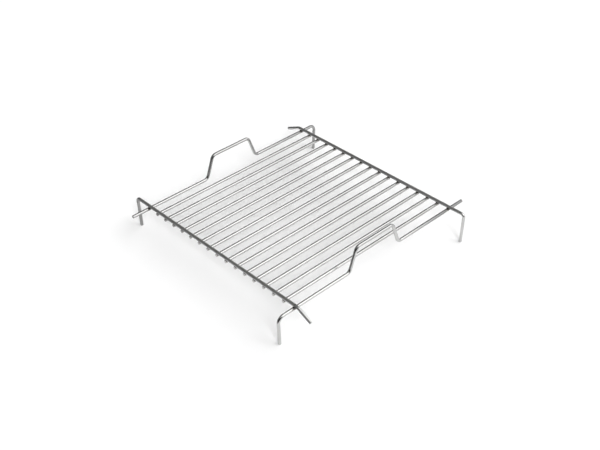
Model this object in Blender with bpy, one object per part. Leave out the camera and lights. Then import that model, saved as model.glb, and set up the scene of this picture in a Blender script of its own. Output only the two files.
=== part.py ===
"""A grill grate of round stainless wire, welded at every crossing.

Two cross bars lie on top of the rods. Each is bent down into a leg at one end and droops at the other.
Two handle bars close the row of rods. Each rises into a handle at its middle and ends in a leg.
The back cross bar and the right handle bar are the front and left ones turned half way round.

+X runs along the cross bars, +Y along the rods and +Z up. The origin is the middle of the grate,
on the ground that its legs stand on. Lengths are in metres and angles in degrees.
"""

import math

import bmesh
import bpy
from mathutils import Matrix, Vector

# Wire
WIRE_DIAMETER = 0.005
END_CHAMFER = 0.0003

# Grid
FRAME_WIDTH = 0.32  # centre to centre of the handle bars
FRAME_DEPTH = 0.32  # centre to centre of the cross bars
ROD_COUNT = 15
OUTER_SPACING = 0.0207  # centre to centre, of each handle bar and the rod beside it
ROD_END_OVERHANG = 0.0022  # of each rod past the cross bar's centreline
ROD_HEIGHT = 0.046  # of the rods' centrelines above the ground

# Welded crossings
WELD_SET_DOWN = 0.0003  # how far the wires are pressed into each other
SEAT_GAP = 0.0003  # left between a rod and the saddle in the bar above it

# Legs
LEG_OVERHANG = 0.0302  # from the crossing to the corner of the leg
LEG_TOE_IN = 2.0
CROSS_BAR_LEG_BEND_INSIDE = 0.0028

# Drooping ends of the cross bars
DROOP_START = 0.0056  # from the crossing to the bend
DROOP_LENGTH = 0.0283
DROOP_ANGLE = 24.5
DROOP_BEND_INSIDE = 0.0125

# Plain ends of the handle bars
PLAIN_END_OVERHANG = 0.0317

# Handles
HANDLE_BASE_WIDTH = 0.1015
HANDLE_TOP_WIDTH = 0.074
HANDLE_HEIGHT = 0.038  # of the handle's top run above the rods' centrelines
HANDLE_OFFSET = 0.0044  # from the middle of the bar, towards its leg
HANDLE_BAR_BEND_INSIDE = 0.0065  # of the handle's four bends and of the leg's

# Steel, as linear colour
STEEL_COLOUR = (0.62, 0.62, 0.61, 1.0)
STEEL_ROUGHNESS = 0.18

# Facets
WIRE_SIDES = 24
BEND_STEP = 11.5
SHARP_ANGLE = 32.0

WIRE_RADIUS = WIRE_DIAMETER / 2
CROSS_BAR_RISE = WIRE_DIAMETER - WELD_SET_DOWN
CROSS_BAR_HEIGHT = ROD_HEIGHT + CROSS_BAR_RISE
ROD_SPACING = (FRAME_WIDTH - 2 * OUTER_SPACING) / (ROD_COUNT - 1)


class WireBender:
    """Feeds out round wire and bends it, keeping the rim of the wire's last section."""

    def __init__(self, start, heading, diameter):
        self.mesh = bmesh.new()
        self.tip = Vector(start)
        self.heading = Vector(heading).normalized()
        facing = self.heading.to_track_quat("Z", "X").to_matrix().to_4x4()
        bmesh.ops.create_circle(
            self.mesh,
            cap_ends=True,
            segments=WIRE_SIDES,
            radius=diameter / 2,
            matrix=Matrix.Translation(self.tip) @ facing,
        )
        self.first_rim = list(self.mesh.edges)
        self.rim = list(self.mesh.edges)

    def feed(self, length):
        """Pushes the wire straight on."""
        grown = bmesh.ops.extrude_edge_only(self.mesh, edges=self.rim)["geom"]
        section = [item for item in grown if isinstance(item, bmesh.types.BMVert)]
        bmesh.ops.translate(self.mesh, verts=section, vec=self.heading * length)
        edges = [item for item in grown if isinstance(item, bmesh.types.BMEdge)]
        self.rim = [edge for edge in edges if set(edge.verts) <= set(section)]
        self.tip = self.tip + self.heading * length

    def bend(self, heading, radius):
        """Turns the wire about a mandrel until it runs along the new heading."""
        axis = self.heading.cross(heading).normalized()
        angle = self.heading.angle(heading)
        centre = self.tip + axis.cross(self.heading) * radius
        turned = bmesh.ops.spin(
            self.mesh,
            geom=self.rim,
            cent=centre,
            axis=axis,
            angle=angle,
            steps=math.ceil(math.degrees(angle) / BEND_STEP),
            use_duplicate=False,
        )
        self.rim = [item for item in turned["geom_last"] if isinstance(item, bmesh.types.BMEdge)]
        self.tip = centre + Matrix.Rotation(angle, 3, axis) @ (self.tip - centre)
        self.heading = Vector(heading)

    def cut_level(self, height):
        """Cuts the wire's end parallel to the ground."""
        for vertex in {vertex for edge in self.rim for vertex in edge.verts}:
            vertex.co += self.heading * ((height - vertex.co.z) / self.heading.z)

    def close(self):
        """Caps the wire's end and breaks the edges of both ends."""
        bmesh.ops.edgeloop_fill(self.mesh, edges=self.rim)
        bmesh.ops.bevel(
            self.mesh,
            geom=self.first_rim + self.rim,
            offset=END_CHAMFER,
            segments=1,
            profile=0.5,
            affect="EDGES",
        )
        bmesh.ops.recalc_face_normals(self.mesh, faces=self.mesh.faces)
        return self.mesh


def wire_through(corners, inside_radii):
    """A bender that has run straight from corner to corner, with one bend for each inner corner."""
    runs = [end - start for start, end in zip(corners, corners[1:])]
    headings = [run.normalized() for run in runs]
    bender = WireBender(corners[0], headings[0], WIRE_DIAMETER)
    used = 0.0
    for run, heading, following, inside in zip(runs, headings, headings[1:], inside_radii):
        radius = inside + WIRE_RADIUS
        reach = radius * math.tan(heading.angle(following) / 2)
        bender.feed(run.length - used - reach)
        bender.bend(following, radius)
        used = reach
    bender.feed(runs[-1].length - used)
    return bender


def straight_wire(diameter, length):
    """A bender that has run along +Y, with the middle of the wire at the origin."""
    bender = WireBender((0, -length / 2, 0), (0, 1, 0), diameter)
    bender.feed(length)
    return bender


def foot(corner, height, inwards):
    """The end of a leg that starts at the corner and leans inwards on its way to the ground."""
    return corner + Vector(inwards) * (height * math.tan(math.radians(LEG_TOE_IN))) - Vector((0, 0, height))


def rod_places():
    """Where the rods cross the cross bars, from -X to +X."""
    return [(number - (ROD_COUNT - 1) / 2) * ROD_SPACING for number in range(ROD_COUNT)]


def cross_bar_wire():
    """The front cross bar about its middle: a leg at -X and a drooping end at +X."""
    droop = math.radians(DROOP_ANGLE)
    bend = Vector((FRAME_WIDTH / 2 + DROOP_START, 0, 0))
    tip = bend + Vector((math.cos(droop), 0, -math.sin(droop))) * DROOP_LENGTH
    corner = Vector((-FRAME_WIDTH / 2 - LEG_OVERHANG, 0, 0))
    ground = foot(corner, CROSS_BAR_HEIGHT, (1, 0, 0))
    bender = wire_through([tip, bend, corner, ground], [DROOP_BEND_INSIDE, CROSS_BAR_LEG_BEND_INSIDE])
    bender.cut_level(-CROSS_BAR_HEIGHT)
    return bender.close()


def handle_bar_wire():
    """The left handle bar about its middle: a plain end at -Y, the handle, and a leg at +Y."""
    plain_end = Vector((0, -FRAME_DEPTH / 2 - PLAIN_END_OVERHANG, 0))
    handle = [
        Vector((0, HANDLE_OFFSET - HANDLE_BASE_WIDTH / 2, 0)),
        Vector((0, HANDLE_OFFSET - HANDLE_TOP_WIDTH / 2, HANDLE_HEIGHT)),
        Vector((0, HANDLE_OFFSET + HANDLE_TOP_WIDTH / 2, HANDLE_HEIGHT)),
        Vector((0, HANDLE_OFFSET + HANDLE_BASE_WIDTH / 2, 0)),
    ]
    corner = Vector((0, FRAME_DEPTH / 2 + LEG_OVERHANG, 0))
    ground = foot(corner, ROD_HEIGHT, (0, -1, 0))
    inside_radii = [HANDLE_BAR_BEND_INSIDE] * (len(handle) + 1)
    bender = wire_through([plain_end, *handle, corner, ground], inside_radii)
    bender.cut_level(-ROD_HEIGHT)
    return bender.close()


def rod_wire():
    """One rod about its middle."""
    return straight_wire(WIRE_DIAMETER, FRAME_DEPTH + 2 * ROD_END_OVERHANG).close()


def steel(name):
    """Polished stainless steel."""
    material = bpy.data.materials.new(name)
    material.use_nodes = True
    shader = material.node_tree.nodes["Principled BSDF"]
    shader.inputs["Base Color"].default_value = STEEL_COLOUR
    shader.inputs["Metallic"].default_value = 1.0
    shader.inputs["Roughness"].default_value = STEEL_ROUGHNESS
    material.diffuse_color = STEEL_COLOUR
    return material


def mesh_of(name, shape, material=None):
    """The shape as a mesh, smooth round the wire and sharp at its cut ends."""
    mesh = bpy.data.meshes.new(name)
    shape.to_mesh(mesh)
    shape.free()
    mesh.shade_smooth()
    mesh.set_sharp_from_angle(angle=math.radians(SHARP_ANGLE))
    if material:
        mesh.materials.append(material)
    return mesh


def place(name, mesh, location, half_turn=False):
    """An object of the mesh, turned half way round about +Z if asked."""
    part = bpy.data.objects.new(name, mesh)
    part.location = location
    part.rotation_euler.z = math.pi if half_turn else 0.0
    bpy.context.scene.collection.objects.link(part)
    return part


def saddle_cutter():
    """The rods and the handle bars, thicker by the seat gap, as they pass under the cross bars."""
    cutter = bmesh.new()
    reach = FRAME_DEPTH + 2 * WIRE_DIAMETER
    for x in [-FRAME_WIDTH / 2, *rod_places(), FRAME_WIDTH / 2]:
        wire = straight_wire(WIRE_DIAMETER + 2 * SEAT_GAP, reach)
        bmesh.ops.edgeloop_fill(wire.mesh, edges=wire.rim)
        bmesh.ops.recalc_face_normals(wire.mesh, faces=wire.mesh.faces)
        bmesh.ops.translate(wire.mesh, verts=wire.mesh.verts, vec=(x, 0, ROD_HEIGHT))
        passing = bpy.data.meshes.new("passing_wire")
        wire.mesh.to_mesh(passing)
        wire.mesh.free()
        cutter.from_mesh(passing)
        bpy.data.meshes.remove(passing)
    helper = place("saddle_cutter", mesh_of("saddle_cutter", cutter), (0, 0, 0))
    helper.hide_render = True
    helper.display_type = "WIRE"
    return helper


def cut_saddles(bar, cutter):
    """Presses the wires below into the underside of a cross bar."""
    saddles = bar.modifiers.new("saddles", "BOOLEAN")
    saddles.operation = "DIFFERENCE"
    saddles.solver = "EXACT"
    saddles.object = cutter


def build():
    for leftover in list(bpy.data.objects):
        bpy.data.objects.remove(leftover, do_unlink=True)

    cross_bar = mesh_of("cross_bar", cross_bar_wire(), steel("cross_bar_steel"))
    handle_bar = mesh_of("handle_bar", handle_bar_wire(), steel("handle_bar_steel"))
    rod = mesh_of("grill_rod", rod_wire(), steel("grill_rod_steel"))

    front = place("cross_bar_front", cross_bar, (0, -FRAME_DEPTH / 2, CROSS_BAR_HEIGHT))
    back = place("cross_bar_back", cross_bar, (0, FRAME_DEPTH / 2, CROSS_BAR_HEIGHT), half_turn=True)
    place("handle_bar_left", handle_bar, (-FRAME_WIDTH / 2, 0, ROD_HEIGHT))
    place("handle_bar_right", handle_bar, (FRAME_WIDTH / 2, 0, ROD_HEIGHT), half_turn=True)
    for number, x in enumerate(rod_places(), start=1):
        place(f"grill_rod_{number:02d}", rod, (x, 0, ROD_HEIGHT))

    cutter = saddle_cutter()
    cut_saddles(front, cutter)
    cut_saddles(back, cutter)


build()
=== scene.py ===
"""The looks of a grill grate of bright round stainless wire, welded at every crossing.

+X runs along the cross bars, +Y along the rods and +Z up, from the ground in the middle of the grate.
Lengths are in metres and angles in degrees.
"""

import math
import random

import bpy
from mathutils import Matrix, Vector


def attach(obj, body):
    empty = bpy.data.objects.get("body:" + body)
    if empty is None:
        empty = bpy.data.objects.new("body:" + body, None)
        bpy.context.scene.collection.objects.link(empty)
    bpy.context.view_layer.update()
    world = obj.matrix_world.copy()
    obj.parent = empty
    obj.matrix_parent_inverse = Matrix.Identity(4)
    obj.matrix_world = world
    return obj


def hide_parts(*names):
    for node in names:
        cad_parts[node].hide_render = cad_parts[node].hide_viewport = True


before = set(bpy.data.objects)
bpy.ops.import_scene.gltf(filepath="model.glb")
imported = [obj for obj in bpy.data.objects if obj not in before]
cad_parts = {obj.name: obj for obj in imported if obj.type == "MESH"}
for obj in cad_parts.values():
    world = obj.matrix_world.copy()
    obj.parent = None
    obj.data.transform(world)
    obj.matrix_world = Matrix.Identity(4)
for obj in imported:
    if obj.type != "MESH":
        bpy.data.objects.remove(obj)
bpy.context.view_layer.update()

# Wire
WIRE_RADIUS = 0.0025
RIM_ROUNDING = 0.00035  # of the edges of the cut ends
RIM_STEPS = 4
CUT_FACE_RING = 0.86  # share of the cut face, inside which it is quite flat
WIRE_SIDES = 48
BEND_STEP = 3.0

# Grid
HALF_WIDTH = 0.16  # from the middle to the handle bars' centrelines
HALF_DEPTH = 0.16  # from the middle to the cross bars' centrelines
ROD_COUNT = 15
ROD_SPACING = 0.0199
ROD_END_OVERHANG = 0.0022
ROD_HEIGHT = 0.046
WELD_SET_DOWN = 0.0003
CROSS_BAR_HEIGHT = ROD_HEIGHT + 2 * WIRE_RADIUS - WELD_SET_DOWN
WELD_HEIGHT = (ROD_HEIGHT + CROSS_BAR_HEIGHT) / 2
LAST_ROD = (ROD_COUNT - 1) / 2 * ROD_SPACING

# Legs
LEG_OVERHANG = 0.0302
LEG_TOE_IN = 2.0
CROSS_BAR_LEG_BEND_INSIDE = 0.0028

# Drooping ends of the cross bars
DROOP_START = 0.0056
DROOP_LENGTH = 0.0283
DROOP_ANGLE = 24.5
DROOP_BEND_INSIDE = 0.0125

# Handle bars
PLAIN_END_OVERHANG = 0.0317
HANDLE_BASE_WIDTH = 0.1015
HANDLE_TOP_WIDTH = 0.074
HANDLE_HEIGHT = 0.038
HANDLE_OFFSET = 0.0044
HANDLE_TOP = ROD_HEIGHT + HANDLE_HEIGHT
HANDLE_BAR_BEND_INSIDE = 0.0065

# Welds
WELD_SIDES = 28
WELD_STEPS = 7
WELD_RADIUS = 0.00217  # of the ring of fused metal round the contact
WELD_SWELL = (0.96, 1.04)  # from the smallest ring to the largest
WELD_LEAN = 0.06  # how much wider a ring is on one side
WELD_LOBES = 0.03  # how far its three lobes stand out
WELD_REACH = 1.45  # how much further it runs along the lower wire
WELD_REACH_AT_END = 0.98  # the same towards the cut end of a rod
WELD_REACH_AT_HANDLE_BAR = 1.95
WELD_SPREAD = 1.2  # how much further it runs along the upper wire
WELD_WAIST = 0.0002  # how far the ring pulls in between the two wires
WELD_SINK = 0.00012  # how far its edges lie inside the wires

# Grain of the finish, in repeats per metre
LINE_GRAIN = (45.0, 2600.0, 2600.0)  # of the drawn lines, along the wire and across it
CLOUD_GRAIN = 120.0
PEEL_GRAIN = 1400.0
FUSED_GRAIN = 1500.0
RUN_BETWEEN_BARS = 1.7  # how far apart the wires start in the grain, so that no two are alike
RUN_BEFORE_RODS = 10.0
RUN_BETWEEN_RODS = 0.7

# Relief of the finish
LINE_DEPTH = 0.000012
PEEL_DEPTH = 0.000010
FUSED_DEPTH = 0.00006

# Roughness
CROSS_BAR_ROUGHNESS = 0.30
LOWER_WIRE_ROUGHNESS = 0.22
BURNISHED_ROUGHNESS = 0.13
GRAIN_ROUGHENING = 0.10
SCORCH_ROUGHENING = 0.22
DULL_ROUGHENING = 0.12
FUSED_ROUGHNESS = 0.38
FUSED_ROUGHENING = 0.2
BURNISH_FADE = 0.003  # how far the polish that a bend gets on the mandrel runs into the straights

# Heat marks round each weld, with painted shade: the dark ring is partly heat tint and partly painted shade
# where the wires cross
SCORCH_AND_SHADE_REACH = 0.0034
SCORCH_AND_SHADE_REACH_ON_ROD = 0.0042
SCORCH_AND_SHADE_REACH_ON_HANDLE_BAR = 0.0056
SCORCH_AND_SHADE_FADE = 0.0018
SCORCH_AND_SHADE_WANDER = 0.0016  # how far the clouds shift its edge
SCORCH_AND_SHADE_STRENGTH = 0.85
STRAW_OVERLAP = 0.0004
STRAW_REACH = 0.0032  # past the scorch
STRAW_STRENGTH = 0.45
STRAW_ON_ROD_END = 0.4  # what is left of the straw colour on the cut ends of the rods
ROD_END_FADE = (0.0012, 0.0020)  # from the cross bar's centreline outwards
PAST_LAST_ROD = 0.01

# Dull finish with painted shade: the steel is painted darker and made rougher towards the far end, the right
# and the handle tops
DULL_AND_SHADE_RUN = (-0.10, 0.13)  # where it starts along Y, and where it is full
DULL_AND_SHADE_RUN_ON_HANDLE_BAR = (0.03, 0.15)
HANDLE_TOP_SHADE_EDGES = (0.001, 0.008)  # how far below the handle's top line the painted shade on the handle top fades, from and to

# Colours of the steel
STEEL_DARK = (0.51, 0.51, 0.506, 1.0)
STEEL_LIGHT = (0.60, 0.60, 0.595, 1.0)
# painted shade: the darker steel that the far end, the right and the handle tops are painted towards
STEEL_PAINTED_SHADE = (0.22, 0.22, 0.218, 1.0)
STEEL_STRAW = (0.42, 0.40, 0.37, 1.0)
# partly heat tint, partly painted shade where the wires cross: the near-black steel round each weld
STEEL_SCORCHED_AND_SHADED = (0.11, 0.105, 0.10, 1.0)
FUSED_DARK = (0.018, 0.017, 0.016, 1.0)
FUSED_LIGHT = (0.09, 0.085, 0.08, 1.0)

# Camera
LENS = 58.1477
SENSOR_WIDTH = 36.0
CLIP_START = 0.05
CLIP_END = 100.0
CAMERA_AIM = Vector((0.031469, -0.026788, 0.046))
CAMERA_DISTANCE = 1.437276
CAMERA_AZIMUTH = 46.6795
CAMERA_ELEVATION = 36.6418
CAMERA_ROLL = -0.8334

# Studio
WHITE = (1.0, 1.0, 1.0, 1.0)
WORLD_LEVEL = 0.14
MIRRORED_LEVEL = 0.80  # of the white surroundings, as the wire mirrors them
FLOOR_PAINT = (0.90, 0.90, 0.90, 1.0)
FLOOR_GLOW = 0.07
FLOOR_REACH = 12.0

# Soft suns: where each stands on the ground plan, its elevation, its spread and its strength
SUNS = {
    "key_light": ((0.866, 0.5), 45.0, 42.0, 1.6),
    "front_light": ((0.866, -0.5), 34.0, 24.0, 2.05),
    "low_light": ((0.0, 1.0), 20.0, 70.0, 2.1),
}

# Cards that only the bright wire mirrors, as painted reflections: dark cards for dark surroundings, floor
# cards as painted shade on the floor, and one glowing card as a painted softbox. Each has the centre, half
# the breadth, half the height, how far from the middle the card starts to fade out, where 0.5 is its edge,
# and its tones with their places from side to side
CARDS = {
    "left_card": (
        (-0.9, 0.0, 0.6), (0, 2.2, 0), (0, 0, 1.0), 0.42,
        [(0.0, 0.19), (0.55, 0.19), (0.63, 0.36), (0.72, 0.05)],
    ),
    "top_left_card": (
        (-0.45, 0.0, 1.5), (0, 2.2, 0), (0.52, 0, 0), 0.42,
        [(0.0, 0.19), (0.63, 0.30), (0.72, 0.10)],
    ),
    "front_card": (
        (0.35, -0.48, 0.1), (0.95, 0.69, 0), (0, 0, 0.48), 0.42,
        [(0.36, 0.15), (0.46, 0.012), (0.62, 0.012), (0.72, 0.15)],
    ),
    "front_left_card": ((-0.45, -0.42, 0.1), (0.6, 0, 0), (0, 0, 0.42), 0.42, [(0.0, 0.17)]),
    "camera_card": ((0.95, -0.90, 1.02), (0.40, 0.38, 0), (0, 0, 0.5), 0.42, [(0.0, 0.01)]),
    # painted shade on the floor that only the wire mirrors: this card, the two after it and the left foot
    # card
    "front_floor_card": ((-0.15, -0.66, 0.001), (0.65, 0, 0), (0, 0.42, 0), 0.42, [(0.0, 0.42)]),
    "back_floor_card": ((0.0, 0.105, 0.0012), (0.17, 0, 0), (0, 0.095, 0), 0.30, [(0.0, 0.55)]),
    "left_floor_card": ((-0.60, 0.05, 0.0011), (0.38, 0, 0), (0, 0.40, 0), 0.42, [(0.0, 0.50)]),
    "left_low_card": ((-0.85, -0.08, 0.15), (0, 0.34, 0), (0, 0, 0.16), 0.42, [(0.0, 0.01)]),
    "left_foot_card": ((-0.20, -0.20, 0.0006), (0.16, 0, 0), (0, 0.16, 0), 0.10, [(0.0, 0.50)]),
    # a glowing card in place of a softbox: a painted highlight on the wire
    "right_card": ((0.9, 0.5, 1.0), (-0.7, 0.9, 0), (-0.42, -0.3, 0.6), 0.30, [(0.0, 2.4)]),
}


# Shader sums

class Value:
    """A socket of a finish's nodes that can be written into sums."""

    def __init__(self, finish, socket):
        self.finish = finish
        self.socket = socket

    def compute(self, operation, *terms):
        inputs = dict(enumerate(terms))
        return self.finish.node("ShaderNodeMath", {"operation": operation}, inputs)

    def __add__(self, other):
        return self.compute("ADD", self, other)

    def __radd__(self, other):
        return self.compute("ADD", other, self)

    def __sub__(self, other):
        return self.compute("SUBTRACT", self, other)

    def __rsub__(self, other):
        return self.compute("SUBTRACT", other, self)

    def __mul__(self, other):
        return self.compute("MULTIPLY", self, other)

    def __rmul__(self, other):
        return self.compute("MULTIPLY", other, self)

    def size(self):
        return self.compute("ABSOLUTE", self)

    def root(self):
        return self.compute("SQRT", self)

    def to_nearest(self, spacing):
        """The distance to the nearest whole multiple of the spacing."""
        return self.compute("PINGPONG", self, spacing / 2)

    def least(self, other):
        return self.compute("MINIMUM", self, other)

    def over(self, limit):
        """1 where the value is above the limit, else 0."""
        return self.compute("GREATER_THAN", self, limit)

    def fade(self, start, end):
        """A smooth run from 1 at the start to 0 at the end."""
        settings = {"interpolation_type": "SMOOTHSTEP"}
        inputs = {"Value": self, "From Min": start, "From Max": end, "To Min": 1.0, "To Max": 0.0}
        return self.finish.node("ShaderNodeMapRange", settings, inputs)


class Finish:
    """A node tree being filled, of a material or of the world."""

    def __init__(self, owner):
        self.owner = owner
        owner.use_nodes = True
        self.tree = owner.node_tree
        self.tree.nodes.clear()

    def node(self, kind, settings=None, inputs=None, output=0):
        """A node with its settings made first, then its sockets filled. Gives one of its outputs."""
        made = self.tree.nodes.new(kind)
        for name, value in (settings or {}).items():
            if name == "stops":
                self.set_stops(made.color_ramp, value)
            else:
                setattr(made, name, value)
        for name, value in (inputs or {}).items():
            if isinstance(value, Value):
                self.tree.links.new(value.socket, made.inputs[name])
            else:
                made.inputs[name].default_value = value
        return Value(self, made.outputs[output]) if made.outputs else None

    def set_stops(self, ramp, stops):
        while len(ramp.elements) > len(stops):
            ramp.elements.remove(ramp.elements[-1])
        while len(ramp.elements) < len(stops):
            ramp.elements.new(1.0)
        for element, (place, colour) in zip(ramp.elements, stops):
            element.position = place
            element.color = colour

    def place(self):
        """The place on the piece, in its own frame."""
        return self.node("ShaderNodeTexCoord", output="Object")

    def axes(self, place):
        """The x, y and z of a place."""
        split = self.node("ShaderNodeSeparateXYZ", {}, {0: place}).socket.node
        return [Value(self, socket) for socket in split.outputs]

    def mix(self, factor, first, second):
        """A colour between two colours."""
        return self.node(
            "ShaderNodeMix",
            {"data_type": "RGBA", "clamp_factor": True},
            {0: factor, 6: first, 7: second},
            output=2,
        )

    def noise(self, place, scale, detail, roughness):
        """Cloudy grain from 0 to 1."""
        inputs = {"Vector": place, "Scale": scale, "Detail": detail, "Roughness": roughness}
        return self.node("ShaderNodeTexNoise", {}, inputs)

    def stretch(self, place, scales):
        """The place with each axis scaled by its own number."""
        return self.node("ShaderNodeVectorMath", {"operation": "MULTIPLY"}, {0: place, 1: scales})

    def bump(self, height, depth, under=None):
        """A surface normal from a height from 0 to 1, in metres deep at 1."""
        inputs = {"Height": height, "Distance": depth, "Strength": 1.0}
        if under:
            inputs["Normal"] = under
        return self.node("ShaderNodeBump", {}, inputs)

    def show(self, shader, kind="ShaderNodeOutputMaterial"):
        self.node(kind, {}, {"Surface": shader})

    def show_metal(self, colour, roughness, relief):
        """Finishes a material as bare metal."""
        inputs = {"Base Color": colour, "Metallic": 1.0, "Roughness": roughness, "Normal": relief}
        self.show(self.node("ShaderNodeBsdfPrincipled", {}, inputs))


# Finishes of the steel

def distance_to_weld(finish, x, y, z):
    """How far a place is from the nearest weld."""
    beyond_rods = x.size().over(LAST_ROD + PAST_LAST_ROD)
    from_rod = x.to_nearest(ROD_SPACING) + beyond_rods
    from_handle_bar = (x.size() - HALF_WIDTH).size()
    across = from_rod.least(from_handle_bar)
    along = y.size() - HALF_DEPTH
    up = z - WELD_HEIGHT
    return (across * across + along * along + up * up).root()


def dulling_and_painted_shade(x, y, z, strength, left_share, run, handle_top_shade):
    """How dull the wire is and how much painted shade darkens it: most at the far end, less on the left, and
    again on top of the handles.
    """
    to_the_right = x.fade(HALF_WIDTH, -HALF_WIDTH)
    to_the_end = 1 - y.fade(*run)
    top_shade_start, top_shade_end = HANDLE_TOP_SHADE_EDGES
    shaded_handle_top = z.fade(HANDLE_TOP - top_shade_start, HANDLE_TOP - top_shade_end) * handle_top_shade
    return (to_the_end + shaded_handle_top) * (left_share + to_the_right * (1 - left_share)) * strength


def drawn_steel(
    name, polish, scorch_and_shade_reach=SCORCH_AND_SHADE_REACH,
    dull_and_shade=0.0, dull_and_shade_left_share=1.0, dull_and_shade_run=DULL_AND_SHADE_RUN, handle_top_shade=0.0, clean_ends=False,
):
    """Bright drawn wire: lines along it, a faint orange peel, burnished bends, a dull finish with painted
    shade, and scorched welds with painted shade round them.

    The polish is its roughness. Clean ends have no scorch or painted shade past the cross bars.
    """
    material = bpy.data.materials.new(name)
    finish = Finish(material)
    run = finish.node("ShaderNodeAttribute", {"attribute_name": "wire_run"}, output="Vector")
    burnish = finish.node("ShaderNodeAttribute", {"attribute_name": "burnish"}, output="Fac")
    drawn_lines = finish.noise(finish.stretch(run, LINE_GRAIN), 1.0, 3.0, 0.6)
    cloud = finish.noise(run, CLOUD_GRAIN, 3.0, 0.55)
    peel = finish.noise(run, PEEL_GRAIN, 2.0, 0.5)
    x, y, z = finish.axes(finish.place())

    heat_distance = distance_to_weld(finish, x, y, z) + (cloud - 0.5) * SCORCH_AND_SHADE_WANDER
    # partly heat tint, partly painted shade: a near-black ring round each weld
    scorch_and_shade = heat_distance.fade(scorch_and_shade_reach - SCORCH_AND_SHADE_FADE, scorch_and_shade_reach)
    straw = heat_distance.fade(scorch_and_shade_reach - STRAW_OVERLAP, scorch_and_shade_reach + STRAW_REACH)
    if clean_ends:
        on_the_run = (y.size() - HALF_DEPTH).fade(*ROD_END_FADE)
        scorch_and_shade = scorch_and_shade * on_the_run
        straw = straw * (STRAW_ON_ROD_END + on_the_run * (1 - STRAW_ON_ROD_END))
    # painted shade: darker towards the far end, the right and the handle tops, with a rougher finish there
    dulled_and_shaded = dulling_and_painted_shade(x, y, z, dull_and_shade, dull_and_shade_left_share, dull_and_shade_run, handle_top_shade)

    fresh = finish.mix(cloud, STEEL_DARK, STEEL_LIGHT)
    bright = finish.mix(dulled_and_shaded, fresh, STEEL_PAINTED_SHADE)
    warmed = finish.mix(straw * STRAW_STRENGTH, bright, STEEL_STRAW)
    colour = finish.mix(scorch_and_shade * SCORCH_AND_SHADE_STRENGTH, warmed, STEEL_SCORCHED_AND_SHADED)
    grain = (cloud - 0.5) * GRAIN_ROUGHENING + (drawn_lines - 0.5) * GRAIN_ROUGHENING
    burnished = polish - burnish * (polish - BURNISHED_ROUGHNESS)
    roughness = burnished + grain + scorch_and_shade * SCORCH_ROUGHENING + dulled_and_shaded * DULL_ROUGHENING
    relief = finish.bump(drawn_lines, LINE_DEPTH, finish.bump(peel, PEEL_DEPTH))
    finish.show_metal(colour, roughness, relief)
    return material


def fused_steel(name):
    """Metal that has run at a weld and darkened."""
    material = bpy.data.materials.new(name)
    finish = Finish(material)
    grain = finish.noise(finish.place(), FUSED_GRAIN, 3.0, 0.6)
    colour = finish.mix(grain, FUSED_DARK, FUSED_LIGHT)
    roughness = FUSED_ROUGHNESS + grain * FUSED_ROUGHENING
    finish.show_metal(colour, roughness, finish.bump(grain, FUSED_DEPTH))
    return material


# Wires

def bent_line(corners, inside_radii):
    """Points, headings and burnish along a wire that runs from corner to corner with a round bend at each."""
    runs = [end - start for start, end in zip(corners, corners[1:])]
    headings = [run.normalized() for run in runs]
    line = [(corners[0], headings[0], 0.0)]
    for corner, heading, following, inside in zip(corners[1:], headings, headings[1:], inside_radii):
        radius = inside + WIRE_RADIUS
        axis = heading.cross(following).normalized()
        angle = heading.angle(following)
        start = corner - heading * radius * math.tan(angle / 2)
        centre = start + axis.cross(heading) * radius
        steps = math.ceil(math.degrees(angle) / BEND_STEP)
        line.append((start - heading * BURNISH_FADE, heading, 0.0))
        for step in range(steps + 1):
            turn = Matrix.Rotation(angle * step / steps, 3, axis)
            line.append((centre + turn @ (start - centre), turn @ heading, 1.0))
        end = centre + turn @ (start - centre)
        line.append((end + following * BURNISH_FADE, following, 0.0))
    line.append((corners[-1], headings[-1], 0.0))
    return line


def rounded_end(tip, heading):
    """Sections of a cut end with its rim broken, from the wire to its tip: places and radii."""
    sections = []
    for step in range(RIM_STEPS + 1):
        angle = math.radians(90 * step / RIM_STEPS)
        back = RIM_ROUNDING * (1 - math.sin(angle))
        radius = WIRE_RADIUS - RIM_ROUNDING * (1 - math.cos(angle))
        sections.append((tip - heading * back, radius))
    sections.append((tip, (WIRE_RADIUS - RIM_ROUNDING) * CUT_FACE_RING))
    return sections


def skin(first, ring_count, sides):
    """Faces between rings of vertices, of which the first ring starts at the vertex first."""
    faces = []
    for ring in range(ring_count - 1):
        low = first + ring * sides
        high = low + sides
        for number in range(sides):
            following = (number + 1) % sides
            faces.append((low + number, low + following, high + following, high + number))
    return faces


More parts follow.
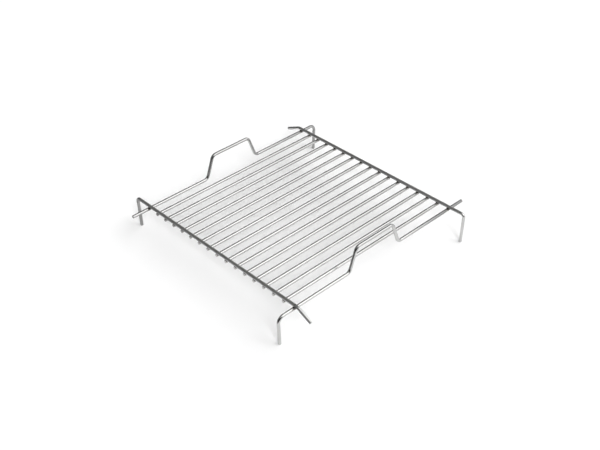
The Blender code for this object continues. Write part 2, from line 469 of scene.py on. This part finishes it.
def wire_piece(name, line, side, material, start_of_run, level_end=False):
    """A round wire along the line, which lies in the plane that the side points out of."""
    first_tip, first_heading, _ = line[0]
    last_tip, last_heading, _ = line[-1]
    sections = []
    for place, radius in reversed(rounded_end(first_tip, -first_heading)):
        sections.append((place, first_heading, radius, 0.0, False))
    for place, heading, burnish in line[1:-1]:
        sections.append((place, heading, WIRE_RADIUS, burnish, False))
    for place, radius in rounded_end(last_tip, last_heading):
        sections.append((place, last_heading, radius, 0.0, level_end))

    vertices = []
    runs = []
    burnishes = []
    travelled = start_of_run
    before = sections[0][0]
    for place, heading, radius, burnish, level in sections:
        travelled += (place - before).length
        before = place
        outwards = side.cross(heading)
        for number in range(WIRE_SIDES):
            angle = 2 * math.pi * number / WIRE_SIDES
            spoke = (outwards * math.cos(angle) + side * math.sin(angle)) * radius
            shift = heading * (-spoke.z / heading.z) if level else Vector((0, 0, 0))
            vertices.append(place + spoke + shift)
            runs.append((travelled, radius * math.cos(angle), radius * math.sin(angle)))
            burnishes.append(burnish)
    vertices += [first_tip, last_tip]
    runs += [(start_of_run, 0.0, 0.0), (travelled, 0.0, 0.0)]
    burnishes += [0.0, 0.0]

    faces = skin(0, len(sections), WIRE_SIDES)
    last_ring = (len(sections) - 1) * WIRE_SIDES
    first_centre = len(vertices) - 2
    last_centre = len(vertices) - 1
    for number in range(WIRE_SIDES):
        following = (number + 1) % WIRE_SIDES
        faces.append((following, number, first_centre))
        faces.append((last_ring + number, last_ring + following, last_centre))
    return piece_of(name, vertices, faces, material, runs, burnishes)


def piece_of(name, vertices, faces, material, runs=None, burnishes=None):
    """A smooth piece of the grate that rides with it."""
    mesh = bpy.data.meshes.new(name)
    mesh.from_pydata(vertices, [], faces)
    mesh.shade_smooth()
    mesh.materials.append(material)
    if runs:
        attribute = mesh.attributes.new("wire_run", "FLOAT_VECTOR", "POINT")
        attribute.data.foreach_set("vector", [number for run in runs for number in run])
        mesh.attributes.new("burnish", "FLOAT", "POINT").data.foreach_set("value", burnishes)
    mesh.update()
    piece = bpy.data.objects.new(name, mesh)
    bpy.context.scene.collection.objects.link(piece)
    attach(piece, "root")
    return piece


def rod_places():
    """Where the rods cross the cross bars, from -X to +X."""
    return [(number - (ROD_COUNT - 1) / 2) * ROD_SPACING for number in range(ROD_COUNT)]


def foot(corner, inwards):
    """The end of a leg that leans inwards on its way to the ground."""
    toe = corner.z * math.tan(math.radians(LEG_TOE_IN))
    return Vector((corner.x, corner.y, 0)) + Vector(inwards) * toe


def half_turned(line):
    """The same wire on the other side of the grate."""
    turn = Matrix.Rotation(math.pi, 3, "Z")
    return [(turn @ place, turn @ heading, burnish) for place, heading, burnish in line]


def cross_bar_line():
    """The front cross bar, from its drooping end at +X to the foot of its leg at -X."""
    droop = math.radians(DROOP_ANGLE)
    bend = Vector((HALF_WIDTH + DROOP_START, -HALF_DEPTH, CROSS_BAR_HEIGHT))
    tip = bend + Vector((math.cos(droop), 0, -math.sin(droop))) * DROOP_LENGTH
    corner = Vector((-HALF_WIDTH - LEG_OVERHANG, -HALF_DEPTH, CROSS_BAR_HEIGHT))
    corners = [tip, bend, corner, foot(corner, (1, 0, 0))]
    return bent_line(corners, [DROOP_BEND_INSIDE, CROSS_BAR_LEG_BEND_INSIDE])


def handle_bar_line():
    """The left handle bar, from its plain end at -Y over the handle to the foot of its leg at +Y."""
    x = -HALF_WIDTH
    corners = [
        Vector((x, -HALF_DEPTH - PLAIN_END_OVERHANG, ROD_HEIGHT)),
        Vector((x, HANDLE_OFFSET - HANDLE_BASE_WIDTH / 2, ROD_HEIGHT)),
        Vector((x, HANDLE_OFFSET - HANDLE_TOP_WIDTH / 2, HANDLE_TOP)),
        Vector((x, HANDLE_OFFSET + HANDLE_TOP_WIDTH / 2, HANDLE_TOP)),
        Vector((x, HANDLE_OFFSET + HANDLE_BASE_WIDTH / 2, ROD_HEIGHT)),
        Vector((x, HALF_DEPTH + LEG_OVERHANG, ROD_HEIGHT)),
    ]
    corners.append(foot(corners[-1], (0, -1, 0)))
    return bent_line(corners, [HANDLE_BAR_BEND_INSIDE] * 5)


# Welds

def drop_of_wire(aside):
    """How far the surface of a wire falls away from its top, at a distance aside of it."""
    return WIRE_RADIUS - math.sqrt(WIRE_RADIUS ** 2 - aside ** 2)


def weld_ring(centre, near_reach, far_reach, dice, vertices, faces):
    """Adds the ring of fused metal where a wire along Y passes under one along X.

    It slopes out over the lower wire, by the near reach towards -Y and by the far reach towards +Y.
    """
    first = len(vertices)
    lean = dice.uniform(0, 2 * math.pi)
    swell = dice.uniform(*WELD_SWELL)
    for step in range(WELD_STEPS + 1):
        share = step / WELD_STEPS
        waist = WELD_WAIST * math.sin(math.pi * share)
        for number in range(WELD_SIDES):
            angle = 2 * math.pi * number / WELD_SIDES
            uneven = 1 + WELD_LEAN * math.cos(angle - lean) + WELD_LOBES * math.cos(3 * angle + 2 * lean)
            radius = WELD_RADIUS * swell * uneven
            x = radius * math.cos(angle)
            y = radius * math.sin(angle)
            low = drop_of_wire(x) - WELD_SET_DOWN / 2 + WELD_SINK
            high = drop_of_wire(y) - WELD_SET_DOWN / 2 + WELD_SINK
            reach = near_reach if y < 0 else far_reach
            foot_of_ring = Vector((x, y * reach, -low))
            top_of_ring = Vector((x * WELD_SPREAD, y, high))
            place = foot_of_ring.lerp(top_of_ring, share)
            inwards = Vector((-math.cos(angle), -math.sin(angle), 0))
            vertices.append(centre + place + inwards * waist)
    faces += skin(first, WELD_STEPS + 1, WELD_SIDES)
    faces.append(tuple(first + number for number in reversed(range(WELD_SIDES))))
    last = first + WELD_STEPS * WELD_SIDES
    faces.append(tuple(last + number for number in range(WELD_SIDES)))


def weld_row(name, y, material, seed):
    """The welds along one cross bar."""
    dice = random.Random(seed)
    vertices = []
    faces = []
    for x in [-HALF_WIDTH, *rod_places(), HALF_WIDTH]:
        near_reach = WELD_REACH if y > 0 else WELD_REACH_AT_END
        far_reach = WELD_REACH if y < 0 else WELD_REACH_AT_END
        if abs(x) == HALF_WIDTH:
            near_reach = far_reach = WELD_REACH_AT_HANDLE_BAR
        weld_ring(Vector((x, y, WELD_HEIGHT)), near_reach, far_reach, dice, vertices, faces)
    return piece_of(name, vertices, faces, material)


def build_grate():
    along_x = Vector((1, 0, 0))
    along_y = Vector((0, 1, 0))
    cross_bar_steel = drawn_steel("cross_bar_steel_bright", CROSS_BAR_ROUGHNESS)
    handle_bar_steel = drawn_steel(
        "handle_bar_steel_bright", LOWER_WIRE_ROUGHNESS, SCORCH_AND_SHADE_REACH_ON_HANDLE_BAR,
        dull_and_shade=0.85, dull_and_shade_left_share=0.68, dull_and_shade_run=DULL_AND_SHADE_RUN_ON_HANDLE_BAR, handle_top_shade=0.33,
    )
    rod_steel = drawn_steel(
        "grill_rod_steel_bright", LOWER_WIRE_ROUGHNESS, SCORCH_AND_SHADE_REACH_ON_ROD,
        dull_and_shade=0.26, dull_and_shade_left_share=0.1, clean_ends=True,
    )
    weld_steel = fused_steel("weld_steel")

    cross_bar = cross_bar_line()
    handle_bar = handle_bar_line()
    bars = [
        ("cross_bar_front", cross_bar, along_y, cross_bar_steel, "cross_bar_steel"),
        ("cross_bar_back", half_turned(cross_bar), along_y, cross_bar_steel, "cross_bar_steel"),
        ("handle_bar_left", handle_bar, along_x, handle_bar_steel, "handle_bar_steel"),
        ("handle_bar_right", half_turned(handle_bar), along_x, handle_bar_steel, "handle_bar_steel"),
    ]
    for number, (node, line, side, material, slot) in enumerate(bars):
        run = number * RUN_BETWEEN_BARS
        piece = wire_piece(node + "_wire", line, side, material, run, level_end=True)
        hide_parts(node)

    reach = HALF_DEPTH + ROD_END_OVERHANG
    for number, x in enumerate(rod_places(), start=1):
        line = [(Vector((x, y, ROD_HEIGHT)), along_y, 0.0) for y in (-reach, reach)]
        run = RUN_BEFORE_RODS + number * RUN_BETWEEN_RODS
        piece = wire_piece(f"grill_rod_wire_{number:02d}", line, along_x, rod_steel, run)
        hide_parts(f"grill_rod_{number:02d}")

    for name, y, seed in (("welds_front", -HALF_DEPTH, 3), ("welds_back", HALF_DEPTH, 8)):
        piece = weld_row(name, y, weld_steel, seed)


# Studio

def stage_plane(name, centre, across, up, material):
    """A flat sheet of the studio, with the middle of it at the centre."""
    corners = [centre - across - up, centre + across - up, centre + across + up, centre - across + up]
    mesh = bpy.data.meshes.new(name)
    mesh.from_pydata(corners, [], [(0, 1, 2, 3)])
    mesh.uv_layers.new(name="sheet").data.foreach_set("uv", [0, 0, 1, 0, 1, 1, 0, 1])
    mesh.materials.append(material)
    sheet = bpy.data.objects.new(name, mesh)
    bpy.context.scene.collection.objects.link(sheet)
    return sheet


def sight(finish):
    """1 for what is seen straight, else 0, and the same for what is seen mirrored or through glass."""
    path = finish.node("ShaderNodeLightPath").socket.node
    names = ("Is Camera Ray", "Is Glossy Ray", "Is Transmission Ray")
    straight, glossy, transmission = (Value(finish, path.outputs[name]) for name in names)
    return straight, glossy + transmission


def lay_floor():
    """A white floor that keeps the shadows."""
    material = bpy.data.materials.new("white_floor")
    finish = Finish(material)
    paint = finish.node("ShaderNodeBsdfDiffuse", {}, {"Color": FLOOR_PAINT})
    straight, mirrored = sight(finish)
    glow = finish.node("ShaderNodeEmission", {}, {"Strength": (straight + mirrored) * FLOOR_GLOW})
    finish.show(finish.node("ShaderNodeAddShader", {}, {0: paint, 1: glow}))
    across = Vector((FLOOR_REACH, 0, 0))
    up = Vector((0, FLOOR_REACH, 0))
    stage_plane("floor", Vector((0, 0, 0)), across, up, material)


def hang_cards():
    """Dark cards and a bright glowing card that paint reflections on the bright wire, some of them painted
    shade on the floor. Only reflections show them.
    """
    for name, (centre, across, up, fade_start, tones) in CARDS.items():
        finish = card_finish(name, tones, fade_start)
        card = stage_plane(name, Vector(centre), Vector(across), Vector(up), finish)
        card.visible_camera = False
        card.visible_diffuse = False
        card.visible_shadow = False
        card.visible_transmission = False


def card_finish(name, tones, fade_start):
    """Tones along the card from side to side, fading out towards its edges."""
    finish = Finish(bpy.data.materials.new(name))
    u, v, _ = finish.axes(finish.node("ShaderNodeUVMap"))
    inside = (u - 0.5).size().fade(fade_start, 0.5) * (v - 0.5).size().fade(fade_start, 0.5)
    highest = max(tone for place, tone in tones)
    stops = [(place, (tone / highest, tone / highest, tone / highest, 1.0)) for place, tone in tones]
    run = finish.node("ShaderNodeValToRGB", {"stops": stops}, {0: u})
    card = finish.node("ShaderNodeEmission", {}, {"Color": run, "Strength": highest})
    clear = finish.node("ShaderNodeBsdfTransparent")
    finish.show(finish.node("ShaderNodeMixShader", {}, {0: inside, 1: clear, 2: card}))
    return finish.owner


def sun(name, ground_place, elevation, spread, strength):
    """A soft light from far away. The wire doesn't mirror it."""
    flat = math.cos(math.radians(elevation))
    x, y = ground_place
    towards = Vector((x * flat, y * flat, math.sin(math.radians(elevation))))
    lamp = bpy.data.lights.new(name, "SUN")
    lamp.angle = math.radians(spread)
    lamp.energy = strength
    light = bpy.data.objects.new(name, lamp)
    light.rotation_euler = towards.to_track_quat("Z", "Y").to_euler()
    light.visible_glossy = False
    bpy.context.scene.collection.objects.link(light)


def light_studio():
    """A little light from all round, and suns from the right, from behind the camera and low at the back."""
    world = bpy.data.worlds.new("studio")
    bpy.context.scene.world = world
    finish = Finish(world)
    straight, mirrored = sight(finish)
    level = WORLD_LEVEL + straight * (1 - WORLD_LEVEL) + mirrored * (MIRRORED_LEVEL - WORLD_LEVEL)
    white = finish.node("ShaderNodeBackground", {}, {"Color": WHITE, "Strength": level})
    finish.show(white, "ShaderNodeOutputWorld")
    for name, (ground_place, elevation, spread, strength) in SUNS.items():
        sun(name, ground_place, elevation, spread, strength)


def set_camera():
    azimuth = math.radians(CAMERA_AZIMUTH)
    elevation = math.radians(CAMERA_ELEVATION)
    roll = math.radians(CAMERA_ROLL)
    flat = math.cos(elevation)
    back = Vector((math.sin(azimuth) * flat, -math.cos(azimuth) * flat, math.sin(elevation)))
    level_right = Vector((math.cos(azimuth), math.sin(azimuth), 0))
    level_up = back.cross(level_right)
    right = level_right * math.cos(roll) + level_up * math.sin(roll)
    up = level_up * math.cos(roll) - level_right * math.sin(roll)
    lens = bpy.data.cameras.new("camera")
    lens.lens = LENS
    lens.sensor_width = SENSOR_WIDTH
    lens.sensor_fit = "HORIZONTAL"
    lens.clip_start = CLIP_START
    lens.clip_end = CLIP_END
    camera = bpy.data.objects.new("camera", lens)
    turn = Matrix((right, up, back)).transposed().to_4x4()
    camera.matrix_world = Matrix.Translation(CAMERA_AIM + back * CAMERA_DISTANCE) @ turn
    bpy.context.scene.collection.objects.link(camera)
    bpy.context.scene.camera = camera


build_grate()
lay_floor()
hang_cards()
light_studio()
set_camera()
bpy.context.scene.view_settings.view_transform = "Standard"
